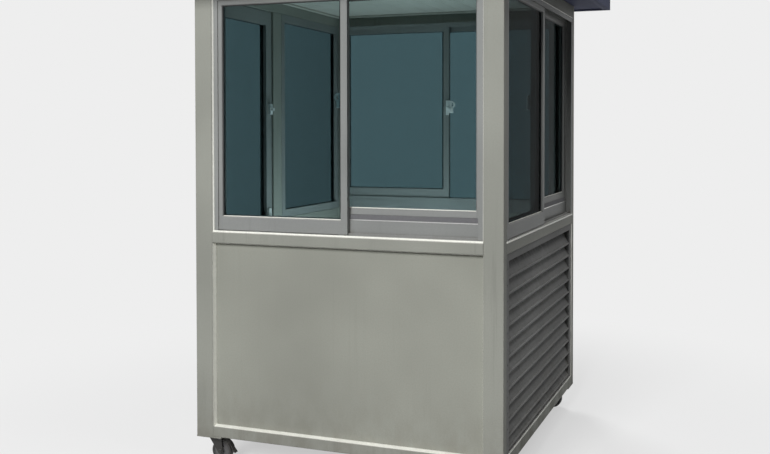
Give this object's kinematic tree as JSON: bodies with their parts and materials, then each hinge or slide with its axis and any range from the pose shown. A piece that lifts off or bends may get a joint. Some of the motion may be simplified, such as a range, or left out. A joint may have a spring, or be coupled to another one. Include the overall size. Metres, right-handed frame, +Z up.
{
  "type": "security guard booth",
  "caption": "Small square guard booth on swivel casters: tube frame, sliding windows on the upper walls, plain and louvred lower panels, half-glazed door, flat overhanging roof.",
  "frame": {"origin": "on the floor under the middle of the booth", "axes": "+Z up; the front wall with the wide sliding window faces -Y; the louvred wall faces +X; the door is in the -X wall"},
  "size_m": [1.85, 1.85, 2.439],
  "materials": {
    "frame_paint": "satin grey-beige paint on square steel tube",
    "panel_paint": "matt grey-beige coated steel sheet",
    "louvre_paint": "satin grey paint on folded steel slats",
    "roof_paint": "dark slate coated steel sheet",
    "sash_metal": "anodised, slightly bluish grey",
    "tinted_glass": "clear float glass with a slight blue-green tint",
    "lock_metal": "bright plated die casting",
    "floor_sheet": "grey vinyl on board",
    "caster_metal": "black pressed steel",
    "wheel_rubber": "black rubber tread"
  },
  "bodies": {
    "booth": {"bottom_rails": "frame_paint", "caster_gussets": "frame_paint", "caster_plates": "caster_metal", "corner_posts": "frame_paint", "door_glass": "tinted_glass", "door_handle": "lock_metal", "door_hinges": "lock_metal", "door_leaf": "sash_metal", "door_panel": "panel_paint", "door_post": "frame_paint", "floor_joists": "frame_paint", "floor_plate": "floor_sheet", "front_glass": "tinted_glass", "front_inner_sash": "sash_metal", "front_outer_sash": "sash_metal", "front_panel": "panel_paint", "front_window_frame": "sash_metal", "head_rails": "frame_paint", "left_glass": "tinted_glass", "left_panel": "panel_paint", "left_window_frame": "sash_metal", "louvre_blades": "louvre_paint", "louvre_frame": "louvre_paint", "rear_glass": "tinted_glass", "rear_inner_sash": "sash_metal", "rear_outer_sash": "sash_metal", "rear_panel": "panel_paint", "rear_window_frame": "sash_metal", "right_glass": "tinted_glass", "right_inner_sash": "sash_metal", "right_outer_sash": "sash_metal", "right_window_frame": "sash_metal", "roof_deck": "roof_paint", "roof_fascia": "roof_paint", "roof_soffit": "roof_paint", "sill_rails": "frame_paint", "window_locks": "lock_metal"},
    "fork_front_left": {"caster_fork_front_left": "caster_metal"},
    "wheel_front_left": {"caster_wheel_front_left": "wheel_rubber"},
    "fork_front_right": {"caster_fork_front_right": "caster_metal"},
    "wheel_front_right": {"caster_wheel_front_right": "wheel_rubber"},
    "fork_rear_left": {"caster_fork_rear_left": "caster_metal"},
    "wheel_rear_left": {"caster_wheel_rear_left": "wheel_rubber"},
    "fork_rear_right": {"caster_fork_rear_right": "caster_metal"},
    "wheel_rear_right": {"caster_wheel_rear_right": "wheel_rubber"}
  },
  "joints": [
    {"name": "swivel_front_left", "type": "hinge", "parent": "booth", "child": "fork_front_left", "pos_m": [-0.684, -0.684, 0.11], "axis": [0, 0, 1], "continuous": true},
    {"name": "roll_front_left", "type": "hinge", "parent": "fork_front_left", "child": "wheel_front_left", "pos_m": [-0.649, -0.684, 0.05], "axis": [0, 1, 0], "continuous": true},
    {"name": "swivel_front_right", "type": "hinge", "parent": "booth", "child": "fork_front_right", "pos_m": [0.684, -0.684, 0.11], "axis": [0, 0, 1], "continuous": true},
    {"name": "roll_front_right", "type": "hinge", "parent": "fork_front_right", "child": "wheel_front_right", "pos_m": [0.649, -0.684, 0.05], "axis": [0, 1, 0], "continuous": true},
    {"name": "swivel_rear_left", "type": "hinge", "parent": "booth", "child": "fork_rear_left", "pos_m": [-0.684, 0.684, 0.11], "axis": [0, 0, 1], "continuous": true},
    {"name": "roll_rear_left", "type": "hinge", "parent": "fork_rear_left", "child": "wheel_rear_left", "pos_m": [-0.649, 0.684, 0.05], "axis": [0, 1, 0], "continuous": true},
    {"name": "swivel_rear_right", "type": "hinge", "parent": "booth", "child": "fork_rear_right", "pos_m": [0.684, 0.684, 0.11], "axis": [0, 0, 1], "continuous": true},
    {"name": "roll_rear_right", "type": "hinge", "parent": "fork_rear_right", "child": "wheel_rear_right", "pos_m": [0.649, 0.684, 0.05], "axis": [0, 1, 0], "continuous": true}
  ]
}
